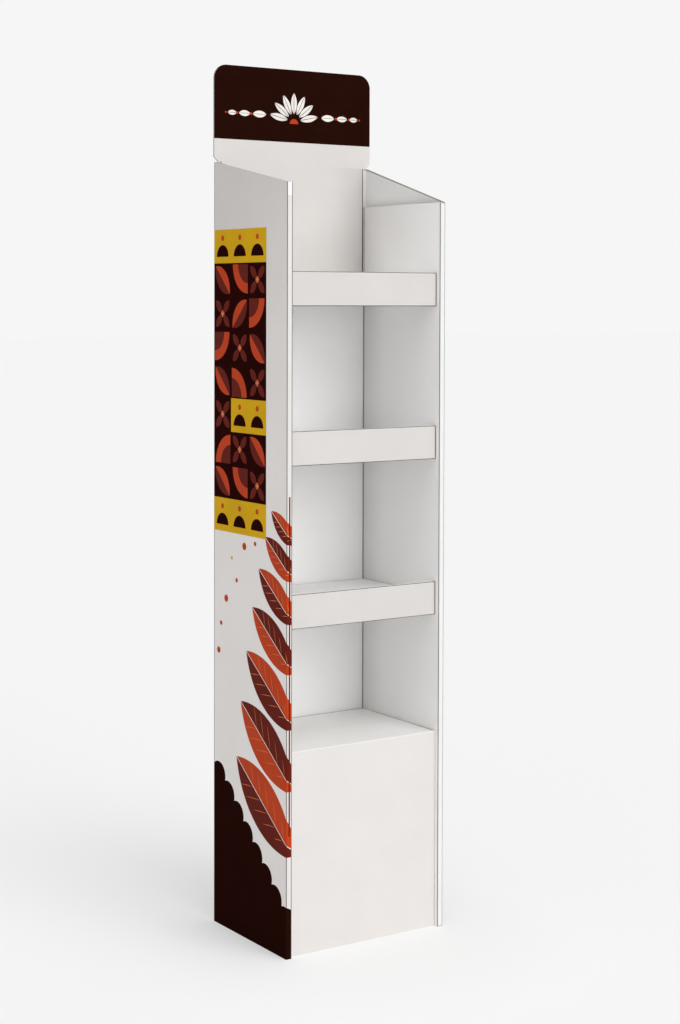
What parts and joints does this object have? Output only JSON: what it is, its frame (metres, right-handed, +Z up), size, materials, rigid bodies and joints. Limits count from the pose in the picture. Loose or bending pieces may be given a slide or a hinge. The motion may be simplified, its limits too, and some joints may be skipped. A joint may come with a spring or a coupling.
{
  "type": "cardboard display stand",
  "caption": "Free-standing folded board display with a header card, open display bays with lipped trays, and a closed plinth.",
  "frame": {"origin": "middle of the footprint on the floor", "axes": "+Z up, +X to the right seen from the front, the open front faces -Y"},
  "size_m": [0.406, 0.3, 1.866],
  "materials": {
    "printed_board": "coated white corrugated board, semi-matt, printed on the left side",
    "header_board": "coated white corrugated board, upper part printed dark brown",
    "tray_board": "coated warm white corrugated board, semi-matt",
    "raw_board": "uncoated brown corrugated board",
    "bar_steel": "zinc-plated square steel tube"
  },
  "bodies": {
    "root": {"body_wrap": "printed_board", "header_card": "header_board", "shelf_tray_top": "tray_board", "shelf_bar_top_front": "bar_steel", "shelf_bar_top_rear": "bar_steel", "shelf_tray_middle": "tray_board", "shelf_bar_middle_front": "bar_steel", "shelf_bar_middle_rear": "bar_steel", "shelf_tray_bottom": "tray_board", "shelf_bar_bottom_front": "bar_steel", "shelf_bar_bottom_rear": "bar_steel", "plinth_cover": "tray_board", "plinth_brace_wide": "raw_board", "plinth_brace_left": "raw_board", "plinth_brace_right": "raw_board"}
  },
  "joints": []
}
